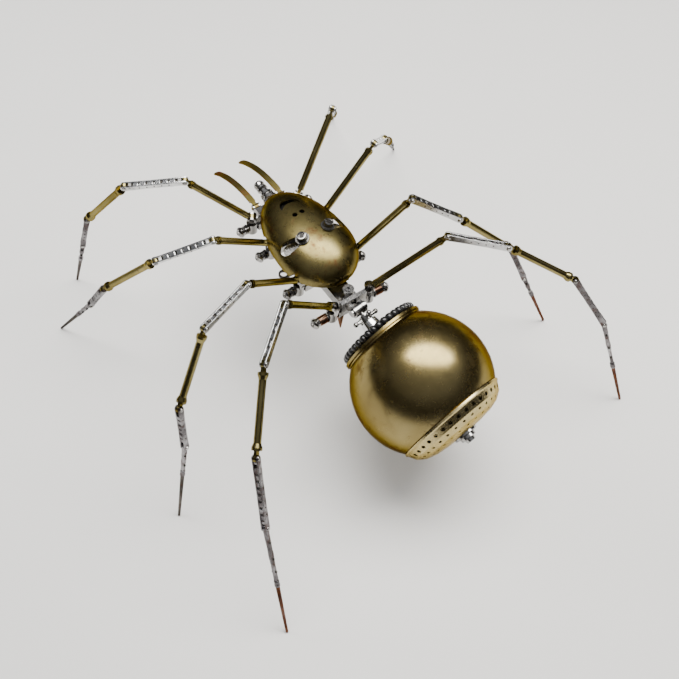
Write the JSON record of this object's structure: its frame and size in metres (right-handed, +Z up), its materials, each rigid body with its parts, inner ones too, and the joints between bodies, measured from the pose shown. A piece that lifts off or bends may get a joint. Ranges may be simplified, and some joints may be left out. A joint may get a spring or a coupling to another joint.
{
  "type": "spider sculpture",
  "caption": "Articulated metal spider sculpture with a domed carapace, hinged rod-and-link legs, curved palps and a hollow ball abdomen on a waist hinge.",
  "frame": {"origin": "on the resting surface, under the centre of the whole box", "axes": "+Z up from the resting surface, head towards -Y, the left side of the spider towards +X"},
  "size_m": [0.2776, 0.3086, 0.1317],
  "materials": {
    "carapace_brass": "satin antique",
    "ball_brass": "polished",
    "rod_brass": "satin",
    "steel": "worn nickel",
    "link_steel": "etched nickel",
    "copper": "aged copper",
    "black_ring": "gloss black",
    "black_steel": "satin black",
    "chrome": "bright"
  },
  "bodies": {
    "thorax": {"carapace_shell": "carapace_brass", "chassis": "steel", "carapace_screws": "steel", "washers": "steel", "carapace_spacers": "steel", "slot_plates": "steel", "hip_studs": "steel", "hip_blocks": "steel", "hip_pins": "steel", "hip_copper_bushes": "copper", "hip_knurled_nuts": "steel", "lug_plates": "black_steel", "snout_screw": "steel", "snout_collar": "steel", "waist_bracket": "steel", "waist_pin": "steel", "rear_ring_screw": "steel", "waist_spike": "copper"},
    "abdomen": {"tie_rod": "steel", "abdomen_shell": "ball_brass", "front_plate": "black_steel", "hub_cup": "chrome", "perforated_cap": "ball_brass", "spinneret": "steel", "toothed_ring": "black_ring", "capstan_nut": "steel"},
    "palp_left": {"palp_left": "rod_brass"},
    "palp_right": {"palp_right": "rod_brass"},
    "femur_l1": {"femur_l1": "rod_brass"},
    "patella_l1": {"patella_l1": "link_steel"},
    "tibia_l1": {"tibia_l1": "rod_brass"},
    "foot_l1": {"foot_l1": "link_steel"},
    "femur_r1": {"femur_r1": "rod_brass"},
    "patella_r1": {"patella_r1": "link_steel"},
    "tibia_r1": {"tibia_r1": "rod_brass"},
    "foot_r1": {"foot_r1": "link_steel"},
    "femur_l2": {"femur_l2": "rod_brass"},
    "patella_l2": {"patella_l2": "link_steel"},
    "tibia_l2": {"tibia_l2": "rod_brass"},
    "foot_l2": {"foot_l2": "link_steel"},
    "femur_r2": {"femur_r2": "rod_brass"},
    "patella_r2": {"patella_r2": "link_steel"},
    "tibia_r2": {"tibia_r2": "rod_brass"},
    "foot_r2": {"foot_r2": "link_steel"},
    "femur_l3": {"femur_l3": "rod_brass"},
    "patella_l3": {"patella_l3": "link_steel"},
    "tibia_l3": {"tibia_l3": "rod_brass"},
    "foot_l3": {"foot_l3": "link_steel"},
    "femur_r3": {"femur_r3": "rod_brass"},
    "patella_r3": {"patella_r3": "link_steel"},
    "tibia_r3": {"tibia_r3": "rod_brass"},
    "foot_r3": {"foot_r3": "link_steel"},
    "femur_l4": {"femur_l4": "rod_brass"},
    "patella_l4": {"patella_l4": "link_steel"},
    "tibia_l4": {"tibia_l4": "rod_brass"},
    "foot_l4": {"foot_l4": "link_steel"},
    "femur_r4": {"femur_r4": "rod_brass"},
    "patella_r4": {"patella_r4": "link_steel"},
    "tibia_r4": {"tibia_r4": "rod_brass"},
    "foot_r4": {"foot_r4": "link_steel"}
  },
  "joints": [
    {"name": "waist_pitch", "type": "hinge", "parent": "thorax", "child": "abdomen", "pos_m": [0.00494, 0.04387, 0.0806], "axis": [0.9919, 0.1271, 0], "range_deg": [-12, 12]},
    {"name": "palp_left_nod", "type": "hinge", "parent": "thorax", "child": "palp_left", "pos_m": [0.01394, -0.04843, 0.083], "axis": [1, 0, 0], "range_deg": [-25, 20]},
    {"name": "palp_right_nod", "type": "hinge", "parent": "thorax", "child": "palp_right", "pos_m": [-0.00406, -0.04843, 0.083], "axis": [1, 0, 0], "range_deg": [-25, 20]},
    {"name": "hip_l1", "type": "hinge", "parent": "thorax", "child": "femur_l1", "pos_m": [0.02114, -0.04194, 0.084], "axis": [-0.5327, -0.8203, 0.2079], "range_deg": [-10, 10]},
    {"name": "knee_l1", "type": "hinge", "parent": "femur_l1", "child": "patella_l1", "pos_m": [0.05557, -0.05384, 0.12521], "axis": [-0.5327, -0.8203, 0.2079], "range_deg": [-30, 30]},
    {"name": "shin_l1", "type": "hinge", "parent": "patella_l1", "child": "tibia_l1", "pos_m": [0.08322, -0.07344, 0.11877], "axis": [-0.5327, -0.8203, 0.2079], "range_deg": [-30, 30]},
    {"name": "ankle_l1", "type": "hinge", "parent": "tibia_l1", "child": "foot_l1", "pos_m": [0.10139, -0.09474, 0.08127], "axis": [-0.5327, -0.8203, 0.2079], "range_deg": [-30, 30]},
    {"name": "hip_r1", "type": "hinge", "parent": "thorax", "child": "femur_r1", "pos_m": [-0.01126, -0.04194, 0.084], "axis": [-0.6132, 0.7572, -0.225], "range_deg": [-10, 10]},
    {"name": "knee_r1", "type": "hinge", "parent": "femur_r1", "child": "patella_r1", "pos_m": [-0.04698, -0.05961, 0.12189], "axis": [-0.6132, 0.7572, -0.225], "range_deg": [-11, 30]},
    {"name": "shin_r1", "type": "hinge", "parent": "patella_r1", "child": "tibia_r1", "pos_m": [-0.06089, -0.07841, 0.09652], "axis": [-0.6132, 0.7572, -0.225], "range_deg": [-30, 22]},
    {"name": "ankle_r1", "type": "hinge", "parent": "tibia_r1", "child": "foot_r1", "pos_m": [-0.08139, -0.10475, 0.06372], "axis": [-0.6132, 0.7572, -0.225], "range_deg": [-30, 27]},
    {"name": "hip_l2", "type": "hinge", "parent": "thorax", "child": "femur_l2", "pos_m": [0.02184, -0.02014, 0.084], "axis": [-0.2346, -0.8754, 0.4226], "range_deg": [-6, 6]},
    {"name": "knee_l2", "type": "hinge", "parent": "femur_l2", "child": "patella_l2", "pos_m": [0.06248, -0.01342, 0.12046], "axis": [-0.2346, -0.8754, 0.4226], "range_deg": [-30, 30]},
    {"name": "shin_l2", "type": "hinge", "parent": "patella_l2", "child": "tibia_l2", "pos_m": [0.09077, -0.02762, 0.10675], "axis": [-0.2346, -0.8754, 0.4226], "range_deg": [-30, 30]},
    {"name": "ankle_l2", "type": "hinge", "parent": "tibia_l2", "child": "foot_l2", "pos_m": [0.11524, -0.05009, 0.07379], "axis": [-0.2346, -0.8754, 0.4226], "range_deg": [-30, 30]},
    {"name": "hip_r2", "type": "hinge", "parent": "thorax", "child": "femur_r2", "pos_m": [-0.01196, -0.02014, 0.084], "axis": [-0.3716, 0.8755, -0.309], "range_deg": [-6, 6]},
    {"name": "knee_r2", "type": "hinge", "parent": "femur_r2", "child": "patella_r2", "pos_m": [-0.05018, -0.02243, 0.12348], "axis": [-0.3716, 0.8755, -0.309], "range_deg": [-14, 30]},
    {"name": "shin_r2", "type": "hinge", "parent": "patella_r2", "child": "tibia_r2", "pos_m": [-0.071, -0.03901, 0.10152], "axis": [-0.3716, 0.8755, -0.309], "range_deg": [-30, 30]},
    {"name": "ankle_r2", "type": "hinge", "parent": "tibia_r2", "child": "foot_r2", "pos_m": [-0.09499, -0.06105, 0.06793], "axis": [-0.3716, 0.8755, -0.309], "range_deg": [-30, 28]},
    {"name": "hip_l3", "type": "hinge", "parent": "thorax", "child": "femur_l3", "pos_m": [0.02304, 0.01097, 0.084], "axis": [0.3401, -0.9345, -0.1045], "range_deg": [-6, 6]},
    {"name": "knee_l3", "type": "hinge", "parent": "femur_l3", "child": "patella_l3", "pos_m": [0.06277, 0.02133, 0.1206], "axis": [0.3401, -0.9345, -0.1045], "range_deg": [-30, 30]},
    {"name": "shin_l3", "type": "hinge", "parent": "patella_l3", "child": "tibia_l3", "pos_m": [0.09519, 0.03313, 0.1206], "axis": [0.3401, -0.9345, -0.1045], "range_deg": [-23, 30]},
    {"name": "ankle_l3", "type": "hinge", "parent": "tibia_l3", "child": "foot_l3", "pos_m": [0.12094, 0.04661, 0.08392], "axis": [0.3401, -0.9345, -0.1045], "range_deg": [-30, 30]},
    {"name": "hip_r3", "type": "hinge", "parent": "thorax", "child": "femur_r3", "pos_m": [-0.01316, 0.01097, 0.084], "axis": [0.4847, 0.8745, -0.0175], "range_deg": [-6, 6]},
    {"name": "knee_r3", "type": "hinge", "parent": "femur_r3", "child": "patella_r3", "pos_m": [-0.03967, 0.02657, 0.12959], "axis": [0.4847, 0.8745, -0.0175], "range_deg": [-16, 30]},
    {"name": "shin_r3", "type": "hinge", "parent": "patella_r3", "child": "tibia_r3", "pos_m": [-0.06513, 0.04031, 0.1108], "axis": [0.4847, 0.8745, -0.0175], "range_deg": [-30, 30]},
    {"name": "ankle_r3", "type": "hinge", "parent": "tibia_r3", "child": "foot_r3", "pos_m": [-0.09629, 0.05697, 0.0801], "axis": [0.4847, 0.8745, -0.0175], "range_deg": [-30, 30]},
    {"name": "hip_l4", "type": "hinge", "parent": "thorax", "child": "femur_l4", "pos_m": [0.01764, 0.03646, 0.084], "axis": [0.5487, -0.7553, -0.3584], "range_deg": [-10, 10]},
    {"name": "knee_l4", "type": "hinge", "parent": "femur_l4", "child": "patella_l4", "pos_m": [0.05465, 0.04442, 0.1239], "axis": [0.5487, -0.7553, -0.3584], "range_deg": [-30, 30]},
    {"name": "shin_l4", "type": "hinge", "parent": "patella_l4", "child": "tibia_l4", "pos_m": [0.08088, 0.06613, 0.11831], "axis": [0.5487, -0.7553, -0.3584], "range_deg": [-30, 30]},
    {"name": "ankle_l4", "type": "hinge", "parent": "tibia_l4", "child": "foot_l4", "pos_m": [0.10518, 0.09626, 0.09202], "axis": [0.5487, -0.7553, -0.3584], "range_deg": [-30, 30]},
    {"name": "hip_r4", "type": "hinge", "parent": "thorax", "child": "femur_r4", "pos_m": [-0.00776, 0.03646, 0.084], "axis": [0.5589, 0.7982, 0.225], "range_deg": [-10, 10]},
    {"name": "knee_r4", "type": "hinge", "parent": "femur_r4", "child": "patella_r4", "pos_m": [-0.04555, 0.05262, 0.12055], "axis": [0.5589, 0.7982, 0.225], "range_deg": [-30, 30]},
    {"name": "shin_r4", "type": "hinge", "parent": "patella_r4", "child": "tibia_r4", "pos_m": [-0.0726, 0.07322, 0.11471], "axis": [0.5589, 0.7982, 0.225], "range_deg": [-30, 30]},
    {"name": "ankle_r4", "type": "hinge", "parent": "tibia_r4", "child": "foot_r4", "pos_m": [-0.10362, 0.10097, 0.0933], "axis": [0.5589, 0.7982, 0.225], "range_deg": [-30, 30]}
  ]
}
